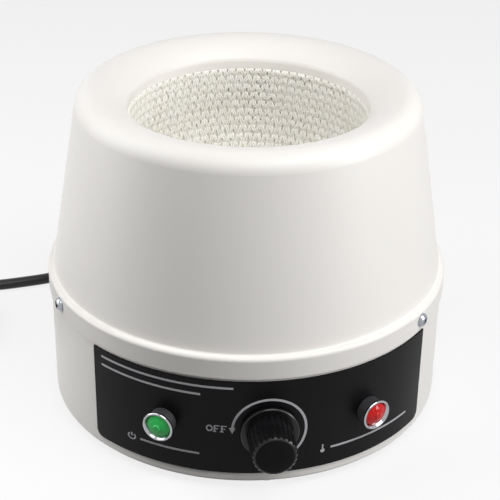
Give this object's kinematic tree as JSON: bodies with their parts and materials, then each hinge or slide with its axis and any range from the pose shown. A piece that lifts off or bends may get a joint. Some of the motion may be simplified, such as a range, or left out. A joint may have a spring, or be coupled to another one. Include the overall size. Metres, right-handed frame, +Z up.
{
  "type": "heating mantle",
  "caption": "Bench heating mantle: a tapered white case round a knitted heating bowl, on a drum base with a control knob, pilot lamps and a mains lead.",
  "frame": {"origin": "on the bench, under the middle of the case", "axes": "+Z up through the bowl, the control panel faces -Y, +X to the right of the panel"},
  "size_m": [0.3512, 0.2859, 0.1653],
  "materials": {
    "white_powder_coat": "satin powder coat, slightly warm white",
    "black_panel": "semi-gloss black printed panel",
    "black_moulding": "glossy black moulding",
    "black_rubber": "matt black rubber",
    "bright_chrome": "bright chrome",
    "bright_screw": "bright nickel plate",
    "zinc_plate": "dull zinc plate",
    "brass": "plain brass",
    "green_lens": "clear green moulding",
    "red_lens": "clear red moulding",
    "neon_glass": "clear glass",
    "ceramic_fibre": "soft white ceramic fibre",
    "glass_sleeve": "braided glass sleeve",
    "glass_knit": "knitted glass fibre, cream white with a sheen",
    "circuit_board": "green solder mask",
    "bare_aluminium": "extruded",
    "component_black": "moulded epoxy",
    "capacitor_red": "dipped resin",
    "terminal_white": "glazed porcelain",
    "cord_jacket": "smooth black jacket"
  },
  "bodies": {
    "case": {"upper_shell": "white_powder_coat", "base_shell": "white_powder_coat", "bottom_plate": "zinc_plate", "bottom_screws": "bright_screw", "feet": "black_rubber", "foot_screws": "bright_screw", "foot_nuts": "zinc_plate", "control_panel": "black_panel", "pot_body": "zinc_plate", "pot_nut": "zinc_plate", "pot_washer": "zinc_plate", "lamp_bezels": "bright_chrome", "green_lens": "green_lens", "red_lens": "red_lens", "lamp_housings": "black_moulding", "lamp_nuts": "zinc_plate", "lamp_bulbs": "neon_glass", "shell_screws": "bright_screw", "shell_brackets": "zinc_plate", "shell_nuts": "zinc_plate", "partition_plate": "zinc_plate", "insulation_block": "ceramic_fibre", "heating_wire": "glass_sleeve", "woven_liner": "glass_knit", "liner_band": "zinc_plate", "control_board": "circuit_board", "board_standoffs": "brass", "board_screws": "bright_screw", "heat_sink": "bare_aluminium", "triac": "component_black", "capacitor": "capacitor_red", "terminal_block": "terminal_white", "cord_gland": "black_rubber", "mains_cord": "cord_jacket", "cord_coil": "cord_jacket", "plug_lead": "cord_jacket", "plug_body": "cord_jacket", "plug_pins": "brass"},
    "knob": {"knob": "black_moulding", "pot_shaft": "brass"}
  },
  "joints": [
    {"name": "knob_turn", "type": "hinge", "parent": "case", "child": "knob", "pos_m": [0, -0.1, 0.0342], "axis": [0, 1, 0], "range_deg": [0, 270]}
  ]
}
